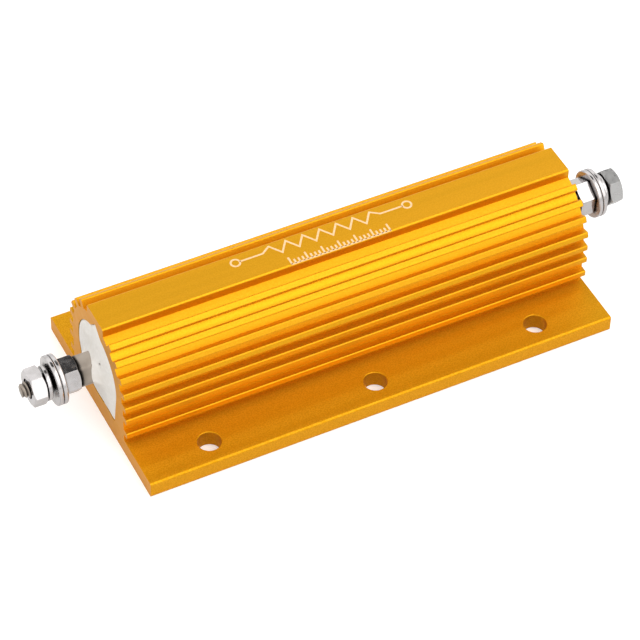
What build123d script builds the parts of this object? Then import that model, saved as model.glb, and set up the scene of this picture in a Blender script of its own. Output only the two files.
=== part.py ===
from build123d import *
import math
import os

# Wirewound power resistor in a finned aluminium housing, with a screw terminal at each end.
# Lengths are in millimetres and angles in degrees. X runs along the extrusion, Y across its base
# and Z up from its mounting face. The origin is the middle of the mounting face.

# Housing: the extruded section
body_length = 98.6
base_width = 47.5
base_thickness = 3.6
base_edge_radius = 0.45
bore_radius = 8.8
under_bore_wall = 4.6
bore_wall = 2.5
plateau_width = 7.3
plateau_rise = 1.35
plateau_edge_radius = 0.4

# Housing: the fins, which stand radially round the upper half and level on the flanks
fin_depth = 1.7
fin_thickness = 1.35
fin_tip_radius = 0.25
radial_fins_per_side = 5
highest_fin_angle = 58.0
fin_pitch_angle = 15.0
flank_step = 0.4
flank_fin_heights = (2.5, 6.3)

# Housing: the grooves that key the filling in the bore
upper_groove_reach = 2.0
upper_groove_half_mouth = 15.0
lower_groove_reach = 2.7
lower_groove_angle = 40.0
lower_groove_inner_mouth = 21.0
lower_groove_outer_mouth = 37.0
groove_tip_radius = 0.3

# Housing: the fixing holes
hole_diameter = 4.6
hole_edge_break = 0.1
hole_edge_distance = 5.0
hole_pitch_along = 35.0
holes_along = 3

# Wound element, which sets a little low in the bore and towards its left end
element_drop = 0.3
element_shift = 0.18
core_radius = 5.2
core_bore_radius = 2.2
core_end_margin = 7.5
wire_thickness = 0.8
cap_wall = 0.7
cap_skirt = 6.0
winding_to_cap = 0.5

# End seals
seal_depth = 4.0
seal_recess = 0.2
seal_rise = 2.2
seal_collar = 0.3
seal_bulge = 0.3

# Terminal studs
stem_across_flats = 5.9
stem_reach = 4.35
thread_diameter = 3.9
tip_chamfer = 0.4
thread_reach = {"left": 1.4, "right": 0.9}
spigot_radius = 1.5

# Nuts and washers on each stud, from the stem outwards
nut_across_flats = 6.7
nut_chamfer_angle = 30.0
nut_thread_clearance = 0.05
inner_nut_thickness = 3.2
outer_nut_thickness = 2.8
washer_diameter = 9.9
washer_thickness = 0.95
washer_edge = 0.15
washer_clearance = 0.2
spring_width = 1.3
spring_thickness = 0.8
spring_clearance = 0.15
spring_gap_angle = 12.0

# Where each piece came to rest when turned about the stud, measured from Y towards Z
stem_turn = 6.0
inner_nut_turn = {"left": 6.0, "right": 31.0}
outer_nut_turn = {"left": 53.0, "right": 6.0}
spring_gap_turn = {"left": -90.0, "right": -90.0}

# Sizes that follow from those above
axis_height = under_bore_wall + bore_radius
trunk_radius = bore_radius + bore_wall
fin_reach = trunk_radius + fin_depth
body_height = axis_height + trunk_radius + plateau_rise
body_end = body_length / 2
hole_pitch_across = base_width - 2 * hole_edge_distance
core_end = body_end - core_end_margin
cap_face = core_end + cap_wall
cap_radius = core_radius + cap_wall
winding_radius = core_radius + wire_thickness
seal_start = body_end - seal_depth
stem_end = body_end + stem_reach
inner_nut_end = stem_end + inner_nut_thickness
inner_washer_end = inner_nut_end + washer_thickness
outer_washer_end = inner_washer_end + washer_thickness
spring_end = outer_washer_end + 2 * spring_thickness
outer_nut_end = spring_end + outer_nut_thickness
SIDES = {"left": -1, "right": 1}
bore_axis = Axis((0, 0, axis_height), (1, 0, 0))
seated = Pos(-element_shift, 0, -element_drop)


def at_axis(sketch):
    """Moves a sketch drawn round its own origin to the bore's centre, in the YZ plane."""
    return Plane.YZ * Pos(0, axis_height) * sketch


def above_axis(side, outline):
    """Places (distance from mid length, radius) points above the bore's axis, on one side."""
    return [(side * x, 0, axis_height + radius) for x, radius in outline]


def turned(side, outline):
    """Turns a closed outline of (distance, radius) points about the bore's axis."""
    face = make_face(Polyline(*above_axis(side, outline), close=True))
    return revolve(face, bore_axis, 360)


def prism(section, side, start, end):
    """Runs a section drawn at the axis along it, from start to end on one side."""
    return extrude(Pos(side * start) * at_axis(section), side * (end - start), dir=(1, 0, 0))


def on_bore(angle):
    """Point on the bore's circle at an angle from Y towards Z."""
    turn = math.radians(angle)
    return (bore_radius * math.cos(turn), bore_radius * math.sin(turn))


def groove(tip_angle, reach, mouth_before, mouth_after):
    """Pointed groove whose sides meet the bore at the given angles before and after its tip."""
    tip = bore_radius + reach
    corners = [(0, 0), on_bore(-mouth_before), (tip, 0), on_bore(mouth_after)]
    outline = make_face(Polyline(*corners, close=True))
    rounded = fillet(outline.vertices().sort_by(Axis.X)[-1], groove_tip_radius)
    return Rot(0, 0, tip_angle) * rounded


def bore_section():
    """Round bore with one keying groove above and one towards each lower corner."""
    section = Circle(bore_radius)
    section += groove(90, upper_groove_reach, upper_groove_half_mouth, upper_groove_half_mouth)
    section += groove(lower_groove_angle - 90, lower_groove_reach,
                      lower_groove_inner_mouth, lower_groove_outer_mouth)
    section += groove(-lower_groove_angle - 90, lower_groove_reach,
                      lower_groove_outer_mouth, lower_groove_inner_mouth)
    return section


def radial_fin(angle):
    fin = RectangleRounded(fin_reach, fin_thickness, fin_tip_radius)
    return Rot(0, 0, angle) * Pos(fin_reach / 2, 0) * fin


def housing_section():
    """Outer section of the extrusion: base, trunk, plateau and the fins of both sides."""
    flank_height = axis_height - base_thickness / 2
    section = Pos(0, base_thickness / 2) * RectangleRounded(base_width, base_thickness, base_edge_radius)
    section += Pos(0, axis_height) * Circle(trunk_radius)
    flank = Rectangle(2 * (trunk_radius + flank_step), flank_height)
    section += Pos(0, axis_height - flank_height / 2) * flank
    plateau_height = body_height - axis_height
    plateau = RectangleRounded(plateau_width, plateau_height, plateau_edge_radius)
    section += Pos(0, axis_height + plateau_height / 2) * plateau
    for count in range(radial_fins_per_side):
        angle = highest_fin_angle - count * fin_pitch_angle
        section += Pos(0, axis_height) * (radial_fin(angle) + radial_fin(180 - angle))
    for height in flank_fin_heights:
        fins = RectangleRounded(2 * (fin_reach + flank_step / 2), fin_thickness, fin_tip_radius)
        section += Pos(0, base_thickness + height) * fins
    return Plane.YZ * section


def fixing_hole():
    """Cutter for one hole through the base, with a broken edge at both faces."""
    radius = hole_diameter / 2
    rim = radius + hole_edge_break
    outline = [
        (0, 0), (rim, 0), (radius, hole_edge_break), (radius, base_thickness - hole_edge_break),
        (rim, base_thickness), (0, base_thickness),
    ]
    return revolve(make_face(Plane.XZ * Polyline(*outline, close=True)), Axis.Z, 360)


def housing():
    body = extrude(housing_section(), body_end, dir=(1, 0, 0), both=True)
    body -= extrude(at_axis(bore_section()), body_end, dir=(1, 0, 0), both=True)
    for place in GridLocations(hole_pitch_along, hole_pitch_across, holes_along, 2):
        body -= place * fixing_hole()
    return body


def ceramic_core():
    outline = [(-core_end, core_bore_radius), (core_end, core_bore_radius),
               (core_end, core_radius), (-core_end, core_radius)]
    return turned(1, outline)


def resistance_winding():
    """The wound wire as one sleeve between the two caps."""
    half_length = cap_face - cap_skirt - winding_to_cap
    outline = [(-half_length, core_radius), (half_length, core_radius),
               (half_length, winding_radius), (-half_length, winding_radius)]
    return turned(1, outline)


def end_cap(side):
    """Pressed cup over the end of the core, pierced for the stud's spigot."""
    skirt = cap_face - cap_skirt
    outline = [(skirt, core_radius), (core_end, core_radius), (core_end, spigot_radius),
               (cap_face, spigot_radius), (cap_face, cap_radius), (skirt, cap_radius)]
    return turned(side, outline)


def stem_section():
    return Rot(0, 0, stem_turn) * RegularPolygon(stem_across_flats / 2, 6, major_radius=False)


def core_filling():
    """Fills the bore between the seals, round the wound element and both stems."""
    filling = extrude(at_axis(bore_section()), seal_start, dir=(1, 0, 0), both=True)
    skirt = cap_face - cap_skirt
    cavity = turned(1, [(-skirt, 0), (-skirt, winding_radius), (skirt, winding_radius), (skirt, 0)])
    for side in SIDES.values():
        cavity += turned(side, [(skirt, 0), (skirt, cap_radius), (cap_face, cap_radius), (cap_face, 0)])
        cavity += prism(stem_section(), side, cap_face, seal_start + element_shift)
    return filling - seated * cavity


def end_seal(side):
    """Cement in the mouth of the bore, a little low at its rim and domed up round the stem."""
    widest = bore_radius + max(upper_groove_reach, lower_groove_reach) + 1
    rim = body_end - seal_recess
    crown = body_end + seal_rise
    crown_radius = stem_across_flats / math.sqrt(3) + seal_collar
    shoulder = ((rim + crown) / 2 + seal_bulge, (bore_radius + crown_radius) / 2 + seal_bulge)
    outline = [(seal_start, 0), (seal_start, widest), (rim, widest), (rim, bore_radius),
               shoulder, (crown, crown_radius), (crown, 0)]
    plug = prism(bore_section(), side, seal_start, stem_end) & turned(side, outline)
    return plug - seated * prism(stem_section(), side, seal_start - element_shift, stem_end)


def terminal_stud(side, reach):
    """Hexagonal stem on the end cap, with a spigot through the cap and a thread outside."""
    radius = thread_diameter / 2
    thread_end = outer_nut_end + reach
    stud = prism(stem_section(), side, cap_face, stem_end)
    stud += turned(side, [(core_end, 0), (core_end, spigot_radius), (cap_face, spigot_radius), (cap_face, 0)])
    thread = [(stem_end, 0), (stem_end, radius), (thread_end - tip_chamfer, radius),
              (thread_end, radius - tip_chamfer), (thread_end, 0)]
    return stud + turned(side, thread)


def hexagon_nut(side, start, thickness, turn):
    """Hexagon with its corners turned off at both faces and an open threaded hole."""
    hole = thread_diameter / 2 + nut_thread_clearance
    corner = nut_across_flats / math.sqrt(3)
    face = nut_across_flats / 2
    chamfer = (corner - face) * math.tan(math.radians(nut_chamfer_angle))
    end = start + thickness
    outline = [(start, hole), (start, face), (start + chamfer, corner), (end - chamfer, corner),
               (end, face), (end, hole)]
    hexagon = Rot(0, 0, turn) * RegularPolygon(face, 6, major_radius=False)
    return prism(hexagon, side, start, end) & turned(side, outline)


def flat_washer(side, start):
    hole = thread_diameter / 2 + washer_clearance
    rim = washer_diameter / 2
    end = start + washer_thickness
    outline = [(start, hole), (start, rim - washer_edge), (start + washer_edge, rim),
               (end - washer_edge, rim), (end, rim - washer_edge), (end, hole)]
    return turned(side, outline)


def spring_washer(side, gap_turn):
    """One open left-hand turn of square wire that climbs by its own thickness."""
    open_part = 1 - spring_gap_angle / 360
    middle = thread_diameter / 2 + spring_clearance + spring_width / 2
    coil = Helix(spring_thickness / open_part, spring_thickness, middle, lefthand=True)
    wire = sweep((coil ^ 0) * Rectangle(spring_width, spring_thickness), coil, is_frenet=True)
    first_turn = math.radians(gap_turn - side * spring_gap_angle / 2)
    seat = Plane(
        origin=(side * (outer_washer_end + spring_thickness / 2), 0, axis_height),
        x_dir=(0, math.cos(first_turn), math.sin(first_turn)),
        z_dir=(side, 0, 0),
    )
    return seat * wire


def element():
    """The wound element and its terminals, drawn on the bore's axis and about mid length."""
    parts = {"ceramic_core": ceramic_core(), "resistance_winding": resistance_winding()}
    for name, side in SIDES.items():
        parts[name + "_end_cap"] = end_cap(side)
        parts[name + "_terminal_stud"] = terminal_stud(side, thread_reach[name])
        parts[name + "_inner_nut"] = hexagon_nut(side, stem_end, inner_nut_thickness, inner_nut_turn[name])
        parts[name + "_inner_washer"] = flat_washer(side, inner_nut_end)
        parts[name + "_outer_washer"] = flat_washer(side, inner_washer_end)
        parts[name + "_spring_washer"] = spring_washer(side, spring_gap_turn[name])
        parts[name + "_outer_nut"] = hexagon_nut(side, spring_end, outer_nut_thickness, outer_nut_turn[name])
    return parts


def build():
    """Returns each node's name and solid."""
    parts = {"housing": housing(), "core_filling": core_filling()}
    for name, side in SIDES.items():
        parts[name + "_end_seal"] = end_seal(side)
    for name, solid in element().items():
        parts[name] = seated * solid
    return parts


os.makedirs("parts", exist_ok=True)
for node, solid in build().items():
    export_step(solid, "parts/" + node + ".step")
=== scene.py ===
import bmesh
import bpy
import math
from mathutils import Matrix, Vector, noise


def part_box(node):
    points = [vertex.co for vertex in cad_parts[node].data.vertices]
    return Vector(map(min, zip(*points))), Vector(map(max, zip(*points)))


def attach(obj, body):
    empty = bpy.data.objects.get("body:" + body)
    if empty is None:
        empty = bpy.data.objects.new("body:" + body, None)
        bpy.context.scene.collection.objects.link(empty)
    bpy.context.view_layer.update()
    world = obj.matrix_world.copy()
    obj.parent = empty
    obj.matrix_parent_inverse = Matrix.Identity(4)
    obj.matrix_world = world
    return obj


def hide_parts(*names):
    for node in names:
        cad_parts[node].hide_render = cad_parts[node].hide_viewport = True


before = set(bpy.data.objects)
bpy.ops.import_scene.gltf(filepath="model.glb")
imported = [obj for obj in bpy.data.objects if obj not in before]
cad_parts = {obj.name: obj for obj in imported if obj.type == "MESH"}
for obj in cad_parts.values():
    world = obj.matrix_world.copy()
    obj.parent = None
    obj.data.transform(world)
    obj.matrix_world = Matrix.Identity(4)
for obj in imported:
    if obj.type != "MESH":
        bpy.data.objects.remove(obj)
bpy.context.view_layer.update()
mm = 0.001


# Housing: one length of aluminium extrusion, sawn off square and drilled for its screws.
# It is etched and anodised gold all over, so the sawn ends are gold too, but rougher.
# The surface keeps the fine lines that the die draws along it.
body_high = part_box("housing")[1]
gold = (0.79, 0.405, 0.021, 1.0)
gold_deep = (0.73, 0.355, 0.009, 1.0)
etch_pit = (0.65, 0.30, 0.005, 1.0)
sawn_gold = (0.70, 0.35, 0.075, 1.0)
die_line_pitch, die_line_stretch = 0.25 * mm, (0.012, 1.0, 1.0)
saw_line_pitch, saw_line_stretch = 0.5 * mm, (1.0, 0.03, 1.0)
saw_turn = math.radians(20.0)
broad_line_share = 0.12
noise_low, noise_high = 0.35, 0.65
etch_grain = 0.28 * mm
pit_share = 0.5
relief_depth, relief_strength = 0.02 * mm, 0.6
worn_edge = 0.12 * mm
end_skin = 0.01 * mm
flange_top, flange_blend = 3.6 * mm, 0.5 * mm
flange_pitting = 2.0
drawn_roughness = (0.46, 0.54)
flange_dullness, sawn_dullness = 0.07, 0.14
# Painted shade in the slits: how far the occlusion looks, where the darkening starts and ends, how strong
# it is, and its colour.
slit_reach = 0.8 * mm
slit_shut, slit_open = 0.18, 0.62
slit_share = 0.9
painted_slit_shade = (0.30, 0.20, 0.004, 1.0)


def new_material(name):
    """Returns a new node material with its nodes, its links and its Principled shader."""
    material = bpy.data.materials.new(name)
    material.use_nodes = True
    tree = material.node_tree
    return material, tree.nodes, tree.links, tree.nodes["Principled BSDF"]


def dress(node, material):
    """Gives a CAD node's own object one material."""
    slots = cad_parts[node].data.materials
    slots.clear()
    slots.append(material)


def add_math(nodes, links, operation, first, second):
    """Adds one maths node. Each input is a socket or a number."""
    step = nodes.new("ShaderNodeMath")
    step.operation = operation
    for socket, value in zip(step.inputs, (first, second)):
        if isinstance(value, bpy.types.NodeSocket):
            links.new(value, socket)
        else:
            socket.default_value = value
    return step.outputs[0]


def add_noise(nodes, links, place, scale, detail):
    """Adds one noise texture and returns its value, from 0 to 1."""
    texture = nodes.new("ShaderNodeTexNoise")
    texture.inputs["Scale"].default_value = scale
    texture.inputs["Detail"].default_value = detail
    links.new(place, texture.inputs["Vector"])
    return texture.outputs["Fac"]


def add_mix(nodes, links, share, first, second):
    """Adds one colour mix. The share is a socket, and each colour a socket or a tuple."""
    mix = nodes.new("ShaderNodeMix")
    mix.data_type = "RGBA"
    links.new(share, mix.inputs["Factor"])
    for socket, value in zip((mix.inputs[6], mix.inputs[7]), (first, second)):
        if isinstance(value, bpy.types.NodeSocket):
            links.new(value, socket)
        else:
            socket.default_value = value
    return mix.outputs[2]


def add_range(nodes, links, value, low, high, out_low, out_high):
    """Adds one smooth map range from low..high to out_low..out_high."""
    step = nodes.new("ShaderNodeMapRange")
    step.interpolation_type = "SMOOTHSTEP"
    step.inputs["From Min"].default_value = low
    step.inputs["From Max"].default_value = high
    step.inputs["To Min"].default_value = out_low
    step.inputs["To Max"].default_value = out_high
    links.new(value, step.inputs["Value"])
    return step.outputs["Result"]


def drawn_lines_group():
    """Fine and broad noise, stretched into lines: a height, and a mask for colour and shine."""
    group = bpy.data.node_groups.new("drawn_lines", "ShaderNodeTree")
    sockets = group.interface
    sockets.new_socket("Place", in_out="INPUT", socket_type="NodeSocketVector")
    sockets.new_socket("Scale", in_out="INPUT", socket_type="NodeSocketFloat")
    sockets.new_socket("Height", in_out="OUTPUT", socket_type="NodeSocketFloat")
    sockets.new_socket("Mask", in_out="OUTPUT", socket_type="NodeSocketFloat")
    nodes, links = group.nodes, group.links
    inside = nodes.new("NodeGroupInput")
    outside = nodes.new("NodeGroupOutput")
    fine = nodes.new("ShaderNodeTexNoise")
    fine.inputs["Detail"].default_value = 3.0
    broad = nodes.new("ShaderNodeTexNoise")
    broad.inputs["Detail"].default_value = 2.0
    broad_scale = add_math(nodes, links, "MULTIPLY", inside.outputs["Scale"], broad_line_share)
    links.new(inside.outputs["Place"], fine.inputs["Vector"])
    links.new(inside.outputs["Scale"], fine.inputs["Scale"])
    links.new(inside.outputs["Place"], broad.inputs["Vector"])
    links.new(broad_scale, broad.inputs["Scale"])
    links.new(fine.outputs["Fac"], outside.inputs["Height"])
    links.new(broad.outputs["Fac"], outside.inputs["Mask"])
    return group


drawn_lines = drawn_lines_group()


def add_lines(nodes, links, place, turn, stretch, pitch):
    """Adds lines a pitch apart, turned about X and stretched along one axis."""
    mapping = nodes.new("ShaderNodeMapping")
    mapping.inputs["Rotation"].default_value = (turn, 0.0, 0.0)
    mapping.inputs["Scale"].default_value = stretch
    links.new(place, mapping.inputs["Vector"])
    lines = nodes.new("ShaderNodeGroup")
    lines.node_tree = drawn_lines
    lines.inputs["Scale"].default_value = 1.0 / pitch
    links.new(mapping.outputs["Vector"], lines.inputs["Place"])
    return lines.outputs["Height"], lines.outputs["Mask"]


def gold_anodised():
    """Gold anodising: lines of the die along it, saw marks on its ends, and painted shade in its slits.
    """
    material, nodes, links, shader = new_material("gold_anodised")
    place = nodes.new("ShaderNodeTexCoord").outputs["Object"]
    along_height, along_mask = add_lines(nodes, links, place, 0.0, die_line_stretch, die_line_pitch)
    cut_height = add_lines(nodes, links, place, saw_turn, saw_line_stretch, saw_line_pitch)[0]
    grain = add_noise(nodes, links, place, 1.0 / etch_grain, 2.0)

    split = nodes.new("ShaderNodeSeparateXYZ")
    links.new(place, split.inputs["Vector"])
    from_middle = add_math(nodes, links, "ABSOLUTE", split.outputs["X"], 0.0)
    sawn = add_math(nodes, links, "GREATER_THAN", from_middle, body_high.x - end_skin)

    drawn = add_mix(nodes, links, along_mask, gold_deep, gold)
    speckle = add_range(nodes, links, grain, noise_low, noise_high, 0.0, pit_share)
    above = flange_top + flange_blend
    on_flange = add_range(nodes, links, split.outputs["Z"], flange_top, above, flange_pitting, 1.0)
    pitting = add_math(nodes, links, "MULTIPLY", speckle, on_flange)
    etched = add_mix(nodes, links, pitting, drawn, etch_pit)
    # Painted shade: where little light gets into a slit, the gold is darkened towards a dark olive brown.
    slit = nodes.new("ShaderNodeAmbientOcclusion")
    slit.samples = 8
    slit.inputs["Distance"].default_value = slit_reach
    deep = add_range(nodes, links, slit.outputs["AO"], slit_shut, slit_open, slit_share, 0.0)
    shaded = add_mix(nodes, links, deep, etched, painted_slit_shade)
    links.new(add_mix(nodes, links, sawn, shaded, sawn_gold), shader.inputs["Base Color"])

    drawn_sheen = add_range(nodes, links, along_mask, noise_low, noise_high, *drawn_roughness)
    duller = add_range(nodes, links, split.outputs["Z"], flange_top, above, flange_dullness, 0.0)
    duller_ends = add_math(nodes, links, "MULTIPLY", sawn, sawn_dullness)
    dulled = add_math(nodes, links, "MAXIMUM", duller, duller_ends)
    links.new(add_math(nodes, links, "ADD", drawn_sheen, dulled), shader.inputs["Roughness"])

    height = nodes.new("ShaderNodeMix")
    links.new(sawn, height.inputs["Factor"])
    links.new(add_math(nodes, links, "ADD", along_height, grain), height.inputs[2])
    links.new(cut_height, height.inputs[3])
    edge = nodes.new("ShaderNodeBevel")
    edge.samples = 4
    edge.inputs["Radius"].default_value = worn_edge
    bump = nodes.new("ShaderNodeBump")
    bump.inputs["Distance"].default_value = relief_depth
    bump.inputs["Strength"].default_value = relief_strength
    links.new(height.outputs[0], bump.inputs["Height"])
    links.new(edge.outputs["Normal"], bump.inputs["Normal"])
    links.new(bump.outputs["Normal"], shader.inputs["Normal"])
    shader.inputs["Metallic"].default_value = 1.0
    return material


dress("housing", gold_anodised())


# Printed marking: a plain resistor symbol between two terminals, over a row of ticks.
# It is one thin coat of off-white ink, stamped on the flat top and slightly uneven.
ink_thickness = 0.01 * mm
ink_white = (0.80, 0.53, 0.30, 1.0)
ink_thin = (0.78, 0.43, 0.13, 1.0)
ink_cloud_scale = 2600.0
ink_wear_from, ink_wear_to = 0.35, 0.75
ink_wear = 0.7
stroke = 0.38 * mm
narrowest_mitre = 0.4
symbol_start, symbol_end = -20.8 * mm, 17.3 * mm
symbol_line = 1.45 * mm
symbol_height = 2.5 * mm
zigzag_start, zigzag_end = -14.2 * mm, 10.7 * mm
zigzag_peaks = 13
terminal_ring = 0.9 * mm
ring_segments = 28
tick_start, tick_end = -10.4 * mm, 10.4 * mm
tick_base = -3.45 * mm
tick_count = 25
ticks_per_long = 4
short_tick, long_tick = 1.15 * mm, 1.95 * mm


def printing_ink():
    """Off-white ink, thinner in places so that the gold shows through."""
    material, nodes, links, shader = new_material("printing_ink")
    place = nodes.new("ShaderNodeTexCoord").outputs["Object"]
    thin = add_noise(nodes, links, place, ink_cloud_scale, 3.0)
    worn = add_range(nodes, links, thin, ink_wear_from, ink_wear_to, 0.0, ink_wear)
    links.new(add_mix(nodes, links, worn, ink_white, ink_thin), shader.inputs["Base Color"])
    shader.inputs["Roughness"].default_value = 0.6
    return material


def stroke_along(bm, points, width):
    """Adds a flat band of the given width along a line of (x, y) points on the flat top."""
    rows = []
    for index, point in enumerate(points):
        before = points[max(index - 1, 0)]
        after = points[min(index + 1, len(points) - 1)]
        into = (Vector(point) - Vector(before)).normalized() if index else None
        out = (Vector(after) - Vector(point)).normalized() if index < len(points) - 1 else None
        into = into or out
        out = out or into
        middle = (into + out).normalized()
        across = Vector((-middle.y, middle.x)) * (width / 2 / max(middle.dot(into), narrowest_mitre))
        spots = (Vector(point) + across, Vector(point) - across)
        rows.append([bm.verts.new((spot.x, spot.y, body_high.z)) for spot in spots])
    for low, high in zip(rows, rows[1:]):
        bm.faces.new((low[0], low[1], high[1], high[0]))


def printed_marking():
    """The whole marking as one coat: zigzag with its leads, a ring at each end, and the ticks."""
    bm = bmesh.new()
    top, foot = symbol_line + symbol_height / 2, symbol_line - symbol_height / 2
    step = (zigzag_end - zigzag_start) / (zigzag_peaks + 1)
    bends = [(zigzag_start + step * (peak + 1), top if peak % 2 == 0 else foot)
             for peak in range(zigzag_peaks)]
    left_lead = (symbol_start + 2 * terminal_ring, symbol_line)
    right_lead = (symbol_end - 2 * terminal_ring, symbol_line)
    zigzag = [left_lead, (zigzag_start, symbol_line)] + bends + [(zigzag_end, symbol_line), right_lead]
    stroke_along(bm, zigzag, stroke)
    for centre in (symbol_start + terminal_ring, symbol_end - terminal_ring):
        place = Matrix.Translation((centre, symbol_line, body_high.z))
        circles = []
        for radius in (terminal_ring - stroke / 2, terminal_ring + stroke / 2):
            circles += bmesh.ops.create_circle(bm, segments=ring_segments, radius=radius,
                                               matrix=place)["verts"]
        rims = dict.fromkeys(edge for vert in circles for edge in vert.link_edges)
        bmesh.ops.bridge_loops(bm, edges=list(rims))
    for tick in range(tick_count):
        x = tick_start + (tick_end - tick_start) * tick / (tick_count - 1)
        reach = short_tick if tick % ticks_per_long else long_tick
        stroke_along(bm, [(x, tick_base), (x, tick_base + reach)], stroke)
    stroke_along(bm, [(tick_start - stroke / 2, tick_base), (tick_end + stroke / 2, tick_base)], stroke)
    bmesh.ops.recalc_face_normals(bm, faces=bm.faces)
    for face in bm.faces:
        if face.normal.z < 0:
            face.normal_flip()
    raised = bmesh.ops.extrude_face_region(bm, geom=bm.faces[:], use_keep_orig=True)["geom"]
    coat = [item for item in raised if isinstance(item, bmesh.types.BMVert)]
    bmesh.ops.translate(bm, verts=coat, vec=(0.0, 0.0, ink_thickness))
    bmesh.ops.recalc_face_normals(bm, faces=bm.faces)
    return bm


def new_piece(name, bm, material, smooth):
    """Makes a bmesh into an object that rides with the housing, and returns it."""
    mesh = bpy.data.meshes.new(name)
    bm.to_mesh(mesh)
    bm.free()
    mesh.materials.append(material)
    piece = bpy.data.objects.new(name, mesh)
    bpy.context.scene.collection.objects.link(piece)
    for face in mesh.polygons:
        face.use_smooth = smooth
    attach(piece, "root")
    return piece


new_piece("printed_marking", printed_marking(), printing_ink(), False)


# End seals: white cement pressed into the mouth of the bore round the stem and left to set.
# It sits just under the housing's face at its rim, climbs the stem and is lumpy all over.
# A few pits are left where bubbles broke: each is given by its y, z, radius and depth in mm.
seal_rings = 26
seal_spokes = 120
rim_drop = 0.22 * mm
dome_height = 0.45 * mm
rim_steepness, dome_steepness, lump_steepness = 14.0, 1.3, 6.0
fillet_reach = 0.95 * mm
climb_mean, climb_swing = 1.75 * mm, 0.55 * mm
climb_turn = {"left": math.radians(165.0), "right": math.radians(20.0)}
lump_size = 3.2 * mm
lump_height = 0.22 * mm
small_size_share, small_height_share = 0.3, 0.35
small_lump_slice = 3.0 * mm
crease_angle = math.radians(60.0)
between_bore_and_stem = 6.0 * mm
same_depth = 0.01 * mm
cement_grain_scale, cement_stain_scale = 1500.0, 260.0
cement_relief = 0.06 * mm
stain_from, stain_to, stain_share = 0.48, 0.70, 0.5
# Painted shade in the pits: its colour, the pit depths in mm over which it comes in, and how dark it
# gets.
painted_pit_shade = (0.10, 0.08, 0.06, 1.0)
pit_shade_from, pit_shade_to, pit_shade_share = 0.10, 0.45, 0.85
pits = {"left": ((-2.95, 3.35, 0.26, 0.7), (-1.3, 5.9, 0.20, 0.3)),
        "right": ((2.0, -4.4, 0.22, 0.4),)}


def cement(name, light, dark):
    """Set cement: a fine grain of two tones, darker patches, and painted shade in the pits."""
    material, nodes, links, shader = new_material(name)
    place = nodes.new("ShaderNodeTexCoord").outputs["Object"]
    grain = add_noise(nodes, links, place, cement_grain_scale, 6.0)
    stain = add_noise(nodes, links, place, cement_stain_scale, 3.0)
    body = add_mix(nodes, links, grain, dark, light)
    patches = add_range(nodes, links, stain, stain_from, stain_to, 0.0, stain_share)
    set_cement = add_mix(nodes, links, patches, body, dark)
    # Painted shade: the deeper a pit, the darker its colour, on top of the dent in the mesh.
    hollow = nodes.new("ShaderNodeAttribute")
    hollow.attribute_name = "pit_depth"
    shaded = add_range(nodes, links, hollow.outputs["Fac"], pit_shade_from, pit_shade_to,
                       0.0, pit_shade_share)
    links.new(add_mix(nodes, links, shaded, set_cement, painted_pit_shade), shader.inputs["Base Color"])
    bump = nodes.new("ShaderNodeBump")
    bump.inputs["Distance"].default_value = cement_relief
    links.new(grain, bump.inputs["Height"])
    links.new(bump.outputs["Normal"], shader.inputs["Normal"])
    shader.inputs["Roughness"].default_value = 0.8
    shader.inputs["Specular IOR Level"].default_value = 0.3
    return material


white_cement = cement("white_cement", light=(0.77, 0.745, 0.71, 1.0), dark=(0.66, 0.625, 0.57, 1.0))


def outlines_of_seal(node, axis):
    """Reads the bore's and the stem's outlines off the CAD seal's inner face, as (angle, radius)."""
    spots = [vert.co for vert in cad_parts[node].data.vertices]
    depth = min(spots, key=lambda spot: abs(spot.x)).x
    bore, stem = {}, {}
    for spot in spots:
        if abs(spot.x - depth) < same_depth:
            y, z = spot.y - axis.y, spot.z - axis.z
            angle = round(math.atan2(z, y), 4)
            radius = math.hypot(y, z)
            (bore if radius > between_bore_and_stem else stem)[angle] = radius
    return depth, sorted(bore.items()), sorted(stem.items())


def radius_at(outline, angle):
    """Distance to a closed outline in the given direction, along the side that it crosses."""
    count = len(outline)
    for index in range(count):
        (a, ra), (b, rb) = outline[index], outline[(index + 1) % count]
        span = (b - a) % math.tau
        ahead = (angle - a) % math.tau
        if ahead <= span + 1e-9:
            return ra * rb * math.sin(span) / (ra * math.sin(ahead) + rb * math.sin(span - ahead))
    return outline[0][1]


def ring_of(bm, outline, angles, x, axis):
    """Adds one closed ring of edges at the outline's radius, and returns the edges."""
    ring = []
    for angle in angles:
        radius = radius_at(outline, angle)
        y, z = radius * math.cos(angle), radius * math.sin(angle)
        ring.append(bm.verts.new((x, axis.y + y, axis.z + z)))
    return [bm.edges.new(pair) for pair in zip(ring, ring[1:] + ring[:1])]


def cement_height(side, y, z, outer, inner):
    """How far the cement stands out of the housing's end at one spot, and how deep its pit is."""
    angle, radius = math.atan2(z, y), math.hypot(y, z)
    share = (outer - radius) / (outer - inner)
    climb = climb_mean + climb_swing * math.cos(2 * (angle - climb_turn[side]))
    heap = (climb - dome_height) * math.exp(-(radius - inner) / fillet_reach)
    dome = dome_height * math.sin(math.pi * min(share * dome_steepness, 1.0) / 2)
    seed = 1.0 if side == "right" else -1.0
    broad = noise.noise(Vector((y, z, seed)) / lump_size)
    small = noise.noise(Vector((z, y, small_lump_slice)) / (lump_size * small_size_share))
    swell = lump_height * (broad + small_height_share * small) * min(1.0, share * lump_steepness)
    pitted = 0.0
    for pit_y, pit_z, size, depth in pits[side]:
        away = math.hypot(y - pit_y * mm, z - pit_z * mm)
        pitted += depth * mm * math.exp(-(away / (size * mm)) ** 2)
    return heap + dome + swell - pitted - rim_drop * math.exp(-share * rim_steepness), pitted


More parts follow.
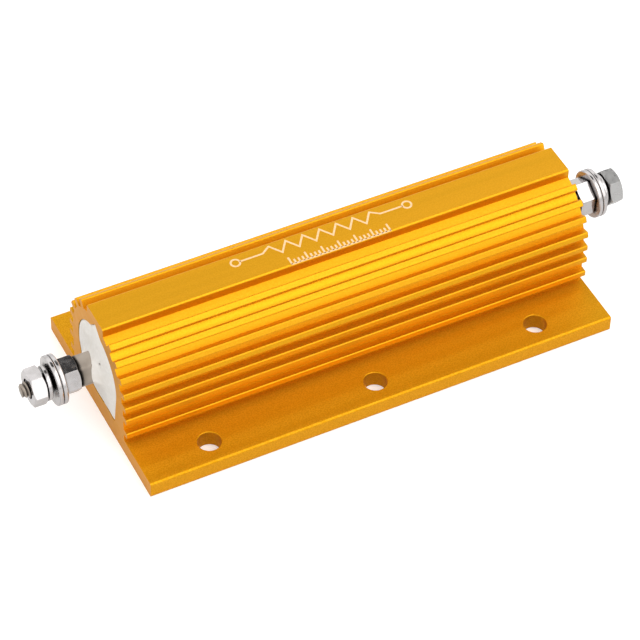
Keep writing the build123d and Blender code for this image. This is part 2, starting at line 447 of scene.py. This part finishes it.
def lumpy_seal(side):
    """Replaces one CAD seal with a ring of cement between the bore's and the stem's outlines."""
    node = side + "_end_seal"
    stud_low, stud_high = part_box(side + "_terminal_stud")
    axis = (stud_low + stud_high) / 2
    depth, bore, stem = outlines_of_seal(node, axis)
    out = -1.0 if side == "left" else 1.0
    even = {round(step * math.tau / seal_spokes - math.pi, 4) for step in range(seal_spokes)}
    angles = sorted(even | {angle for angle, radius in bore})
    bm = bmesh.new()
    rims = []
    for outline in (bore, stem):
        rims += ring_of(bm, outline, angles, out * body_high.x, axis)
    bmesh.ops.bridge_loops(bm, edges=rims)
    spokes = [edge for edge in bm.edges if edge not in rims]
    bmesh.ops.subdivide_edges(bm, edges=spokes, cuts=seal_rings)
    pit_depth = bm.verts.layers.float.new("pit_depth")
    for vert in bm.verts:
        y, z = vert.co.y - axis.y, vert.co.z - axis.z
        angle = math.atan2(z, y)
        height, pitted = cement_height(side, y, z, radius_at(bore, angle), radius_at(stem, angle))
        vert.co.x += out * height
        vert[pit_depth] = pitted / mm
    open_rims = [edge for edge in bm.edges if edge.is_boundary]
    sunk = bmesh.ops.extrude_edge_only(bm, edges=open_rims)["geom"]
    for item in sunk:
        if isinstance(item, bmesh.types.BMVert):
            item.co.x = depth
    bmesh.ops.bridge_loops(bm, edges=[edge for edge in bm.edges if edge.is_boundary])
    bmesh.ops.recalc_face_normals(bm, faces=bm.faces)
    for edge in bm.edges:
        edge.smooth = edge.calc_face_angle(0.0) < crease_angle
    piece = new_piece(side + "_cement_seal", bm, white_cement, True)
    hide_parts(node)


for side in ("left", "right"):
    lumpy_seal(side)


# Terminal hardware: turned and pressed steel, nickel plated. All of it is bright, apart from
# the satin nut at the right end. Nuts have their edges just broken, the blanked washers have
# rounded rims, and a spring washer is one open turn.
arris = {"inner_nut": 0.11 * mm, "inner_washer": 0.30 * mm, "outer_washer": 0.30 * mm,
         "spring_washer": 0.15 * mm, "outer_nut": 0.11 * mm}
same_spot = 0.001 * mm
flat_angle, sharp_angle, facet_angle = math.radians(0.5), math.radians(22.0), math.radians(4.0)
broad_face = 0.8 * mm * mm
# Painted shade in the crevices: how far the occlusion looks, where the darkening starts and ends, and its
# near-black colour.
crevice_reach = 0.8 * mm
crevice_shut, crevice_open = 0.55, 0.96
crevice_painted_shade = (0.03, 0.027, 0.025, 1.0)
mark_scale, cloud_scale = 900.0, 320.0
cloud_from, cloud_to, cloud_share = 0.45, 0.70, 0.6
roughness_swing = 0.10


def plated(name, colour, stain, roughness, grain_depth):
    """Nickel plating: fine scratches, a few dull spots, and painted shade in the crevices."""
    material, nodes, links, shader = new_material(name)
    place = nodes.new("ShaderNodeTexCoord").outputs["Object"]
    marks = add_noise(nodes, links, place, mark_scale, 4.0)
    cloud = add_noise(nodes, links, place, cloud_scale, 2.0)
    dull = add_range(nodes, links, cloud, cloud_from, cloud_to, 0.0, cloud_share)
    # Painted shade: gaps and contact lines between the parts are darkened towards near black where the
    # occlusion is low.
    crevice = nodes.new("ShaderNodeAmbientOcclusion")
    crevice.samples = 8
    crevice.inputs["Distance"].default_value = crevice_reach
    crevice_shade_share = add_range(nodes, links, crevice.outputs["AO"], crevice_shut, crevice_open, 1.0, 0.0)
    clean = add_mix(nodes, links, dull, colour, stain)
    links.new(add_mix(nodes, links, crevice_shade_share, clean, crevice_painted_shade), shader.inputs["Base Color"])
    roughest = roughness + roughness_swing
    links.new(add_range(nodes, links, marks, noise_low, noise_high, roughness, roughest),
              shader.inputs["Roughness"])
    bump = nodes.new("ShaderNodeBump")
    bump.inputs["Distance"].default_value = grain_depth
    links.new(marks, bump.inputs["Height"])
    links.new(bump.outputs["Normal"], shader.inputs["Normal"])
    shader.inputs["Metallic"].default_value = 1.0
    return material


bright_nickel = plated("bright_nickel", colour=(0.54, 0.515, 0.51, 1.0), stain=(0.45, 0.43, 0.42, 1.0),
                       roughness=0.13, grain_depth=0.006 * mm)
satin_nickel = plated("satin_nickel", colour=(0.45, 0.445, 0.435, 1.0), stain=(0.30, 0.29, 0.28, 1.0),
                      roughness=0.27, grain_depth=0.03 * mm)
dull_nickel = plated("dull_nickel", colour=(0.36, 0.31, 0.26, 1.0), stain=(0.25, 0.21, 0.17, 1.0),
                     roughness=0.34, grain_depth=0.012 * mm)


def broken_edges(node, width, material, name):
    """A copy of a CAD solid with its sharp edges rounded by the plating and the tumbling."""
    bm = bmesh.new()
    bm.from_mesh(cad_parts[node].data)
    bmesh.ops.remove_doubles(bm, verts=bm.verts, dist=same_spot)
    bmesh.ops.dissolve_limit(bm, angle_limit=flat_angle, verts=bm.verts, edges=bm.edges)
    bmesh.ops.recalc_face_normals(bm, faces=bm.faces)
    sharp = [edge for edge in bm.edges
             if len(edge.link_faces) == 2 and edge.calc_face_angle() > sharp_angle]
    bmesh.ops.bevel(bm, geom=sharp, offset=width, affect="EDGES", segments=2, profile=0.5,
                    material=-1, clamp_overlap=True)
    for edge in bm.edges:
        broad = max(face.calc_area() for face in edge.link_faces) > broad_face
        edge.smooth = not (broad and edge.calc_face_angle() > facet_angle)
    piece = new_piece(name, bm, material, True)
    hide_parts(node)


for side in ("left", "right"):
    for piece, width in arris.items():
        finish = satin_nickel if (side, piece) == ("right", "outer_nut") else bright_nickel
        broken_edges(side + "_" + piece, width, finish, side + "_" + piece + "_plated")


# Terminal studs: a hexagonal stem with its corners rolled round, and beyond it an M4 thread.
# The thread is rolled, so its crests are rounded, and its start is turned to a long cone.
# One tooth of it is a row of spots: how far along the pitch, and what share of the depth.
stem_sides, shank_sides = 6, 32
stem_flats = 5.9 * mm
stem_turn = math.radians(6.0)
stem_corner = 0.45 * mm
shank_radius = 1.5 * mm
thread_radius = 1.95 * mm
thread_pitch = 0.7 * mm
thread_depth = 0.4 * mm
thread_turn_steps = 48
thread_tooth = ((0.0, 1.0), (0.10, 0.8), (0.30, 0.3), (0.45, 0.0),
                (0.62, 0.0), (0.77, 0.3), (0.97, 0.8))
cone_length = 2.2 * mm
cone_depth = 0.65 * mm
thread_weld, cut_tolerance = 0.002 * mm, 0.0005 * mm


def add_bar(bm, sides, radius, turn, start, end, axis):
    """Adds a closed bar along X with the given number of sides, and returns its long edges."""
    lie = Matrix.Rotation(math.radians(90.0), 4, "Y")
    place = Matrix.Translation((start, axis.y, axis.z)) @ Matrix.Rotation(turn, 4, "X") @ lie
    rim = bmesh.ops.create_circle(bm, cap_ends=True, segments=sides, radius=radius, matrix=place)["verts"]
    face = rim[0].link_faces[0]
    grown = bmesh.ops.extrude_face_region(bm, geom=[face], use_keep_orig=True)["geom"]
    moved = [item for item in grown if isinstance(item, bmesh.types.BMVert)]
    bmesh.ops.translate(bm, verts=moved, vec=(end - start, 0.0, 0.0))
    return [edge for vert in rim for edge in vert.link_edges if edge.other_vert(vert) in moved]


def thread_mesh(radius, start, end, axis):
    """A thread made by turning a row of teeth once round while it moves on by one pitch."""
    first, last = min(start, end) - thread_pitch, max(start, end) + thread_pitch
    bm = bmesh.new()
    verts = []
    for tooth in range(int((last - first) / thread_pitch) + 1):
        for along, low in thread_tooth:
            x = first + (tooth + along) * thread_pitch
            verts.append(bm.verts.new((x, axis.y, axis.z + radius - thread_depth * low)))
    edges = [bm.edges.new(pair) for pair in zip(verts, verts[1:])]
    bmesh.ops.spin(bm, geom=verts + edges, cent=axis, axis=(1.0, 0.0, 0.0),
                   dvec=(thread_pitch / thread_turn_steps, 0.0, 0.0), angle=math.tau,
                   steps=thread_turn_steps, use_merge=False, use_duplicate=False)
    bmesh.ops.remove_doubles(bm, verts=bm.verts, dist=thread_weld)
    for cut, way in ((min(start, end), -1.0), (max(start, end), 1.0)):
        geom = bm.verts[:] + bm.edges[:] + bm.faces[:]
        bmesh.ops.bisect_plane(bm, geom=geom, dist=cut_tolerance, plane_co=(cut, axis.y, axis.z),
                               plane_no=(way, 0.0, 0.0), clear_outer=True)
    bmesh.ops.holes_fill(bm, edges=[edge for edge in bm.edges if edge.is_boundary], sides=0)
    for vert in bm.verts:
        narrower = 1.0 - cone_depth / radius * max(0.0, 1.0 - abs(end - vert.co.x) / cone_length)
        vert.co.y = axis.y + (vert.co.y - axis.y) * narrower
        vert.co.z = axis.z + (vert.co.z - axis.z) * narrower
    return bm


def threaded_stud(side):
    """Replaces one CAD stud: shank in the end cap, hexagonal stem, and the thread out to its tip."""
    node = side + "_terminal_stud"
    low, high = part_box(node)
    nut_low, nut_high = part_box(side + "_inner_nut")
    hole_low, hole_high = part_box(side + "_end_cap")
    axis = (low + high) / 2
    inner, tip = (high.x, low.x) if side == "left" else (low.x, high.x)
    stem_start = hole_low.x if side == "left" else hole_high.x
    stem_end = nut_high.x if side == "left" else nut_low.x
    bm = thread_mesh(thread_radius, stem_end, tip, axis)
    corners = add_bar(bm, stem_sides, stem_flats / math.sqrt(3), stem_turn, stem_start, stem_end, axis)
    bmesh.ops.bevel(bm, geom=corners, offset=stem_corner, affect="EDGES", segments=3, profile=0.5,
                    material=-1, clamp_overlap=True)
    add_bar(bm, shank_sides, shank_radius, 0.0, inner, stem_start, axis)
    bmesh.ops.recalc_face_normals(bm, faces=bm.faces)
    piece = new_piece(side + "_threaded_stud", bm, dull_nickel, True)
    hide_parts(node)


for side in ("left", "right"):
    threaded_stud(side)
    dress(side + "_end_cap", satin_nickel)


# Wound element: resistance wire on a ceramic tube, packed round with the same cement.
# None of it shows from outside.
wire_turn_scale = 260.0
wire_relief = 0.2 * mm
wire_gap, wire_crest = (0.07, 0.06, 0.055, 1.0), (0.30, 0.27, 0.24, 1.0)


def wound_wire():
    """Oxidised wire, with its turns drawn as bands along the sleeve."""
    material, nodes, links, shader = new_material("wound_wire")
    place = nodes.new("ShaderNodeTexCoord").outputs["Object"]
    turns = nodes.new("ShaderNodeTexWave")
    turns.inputs["Scale"].default_value = wire_turn_scale
    links.new(place, turns.inputs["Vector"])
    banded = add_mix(nodes, links, turns.outputs["Fac"], wire_gap, wire_crest)
    links.new(banded, shader.inputs["Base Color"])
    bump = nodes.new("ShaderNodeBump")
    bump.inputs["Distance"].default_value = wire_relief
    links.new(turns.outputs["Fac"], bump.inputs["Height"])
    links.new(bump.outputs["Normal"], shader.inputs["Normal"])
    shader.inputs["Metallic"].default_value = 1.0
    shader.inputs["Roughness"].default_value = 0.4
    return material


dress("resistance_winding", wound_wire())
dress("ceramic_core",
      cement("fired_ceramic", light=(0.86, 0.83, 0.76, 1.0), dark=(0.80, 0.77, 0.70, 1.0)))
dress("core_filling",
      cement("packed_cement", light=(0.76, 0.74, 0.70, 1.0), dark=(0.62, 0.60, 0.55, 1.0)))


# Floor: a plain white table that the resistor stands on. The camera sees it a little lighter
# than the light that it throws back, so that it comes out as white as the photograph's ground.
table_half = 3.0
table_thrown, table_seen = (0.75, 0.75, 0.75, 1.0), (0.80, 0.80, 0.80, 1.0)
table_glow = 0.3


def plain_table():
    """Matt white, with its lighter tone and a faint glow for the camera's own rays."""
    material, nodes, links, shader = new_material("plain_table")
    shader.inputs["Roughness"].default_value = 0.9
    shader.inputs["Specular IOR Level"].default_value = 0.0
    seen = nodes.new("ShaderNodeLightPath").outputs["Is Camera Ray"]
    links.new(add_mix(nodes, links, seen, table_thrown, table_seen), shader.inputs["Base Color"])
    shader.inputs["Emission Color"].default_value = (1.0, 1.0, 1.0, 1.0)
    links.new(add_math(nodes, links, "MULTIPLY", seen, table_glow), shader.inputs["Emission Strength"])
    return material


bm = bmesh.new()
bmesh.ops.create_grid(bm, x_segments=1, y_segments=1, size=table_half)
mesh = bpy.data.meshes.new("table")
bm.to_mesh(mesh)
bm.free()
mesh.materials.append(plain_table())
table = bpy.data.objects.new("table", mesh)
bpy.context.scene.collection.objects.link(table)


# Studio: white walls all round that grow lighter upwards and behind, and three soft boxes.
# High up behind the resistor is a dark patch, which its flat top and its base mirror.
patch_towards = Vector((0.20, 0.47, 0.86)).normalized()
patch_inner, patch_outer = math.cos(math.radians(13.0)), math.cos(math.radians(18.0))
patch_level = 0.05
wall_bottom, wall_top = 0.0, 0.35
wall_low_level, wall_high_level = 0.90, 1.26
behind_start, behind_end = 0.20, 0.60
behind_level = 1.12


def studio_walls():
    """A world of white walls. Each level is a share of plain white."""
    world = bpy.data.worlds.new("studio_walls")
    world.use_nodes = True
    nodes, links = world.node_tree.nodes, world.node_tree.links
    sky = nodes["Background"]
    sky.inputs["Color"].default_value = (1.0, 1.0, 1.0, 1.0)
    direction = nodes.new("ShaderNodeTexCoord").outputs["Generated"]
    towards = nodes.new("ShaderNodeVectorMath")
    towards.operation = "DOT_PRODUCT"
    towards.inputs[1].default_value = patch_towards
    links.new(direction, towards.inputs[0])
    patch = add_range(nodes, links, towards.outputs["Value"], patch_outer, patch_inner, 1.0, patch_level)
    split = nodes.new("ShaderNodeSeparateXYZ")
    links.new(direction, split.inputs["Vector"])
    walls = add_range(nodes, links, split.outputs["Z"], wall_bottom, wall_top,
                      wall_low_level, wall_high_level)
    behind = add_range(nodes, links, split.outputs["Y"], behind_start, behind_end, 1.0, behind_level)
    lit = add_math(nodes, links, "MULTIPLY", walls, behind)
    links.new(add_math(nodes, links, "MULTIPLY", patch, lit), sky.inputs["Strength"])
    return world


bpy.context.scene.world = studio_walls()


def soft_box(name, place, width, height, level):
    """A rectangular lamp, aimed at the resistor, whose face has the given radiance."""
    lamp = bpy.data.lights.new(name, "AREA")
    lamp.shape = "RECTANGLE"
    lamp.size = width
    lamp.size_y = height
    lamp.energy = level * math.pi * width * height
    holder = bpy.data.objects.new(name, lamp)
    holder.location = place
    holder.rotation_euler = (-Vector(place)).to_track_quat("-Z", "Y").to_euler()
    bpy.context.scene.collection.objects.link(holder)


soft_box("top_box", (0.30, -0.50, 0.90), width=1.0, height=0.8, level=1.6)
soft_box("front_box", (0.25, -0.95, 0.50), width=1.0, height=0.45, level=0.75)
soft_box("left_box", (-0.9, -0.2, 0.5), width=0.6, height=0.6, level=0.35)


# Camera: a long lens, above and to the left of the resistor's front. Its place, its turn and
# its lens were solved from the corners of the base and of the flat top in the photograph.
lens = bpy.data.cameras.new("camera")
lens.sensor_width = 36.0
lens.lens = 165.18
camera = bpy.data.objects.new("camera", lens)
camera.location = (-0.18332, -0.34792, 0.42002)
camera.rotation_euler = (math.radians(43.287), math.radians(-0.929), math.radians(-26.478))
bpy.context.scene.collection.objects.link(camera)
bpy.context.scene.camera = camera
bpy.context.scene.view_settings.view_transform = "Standard"
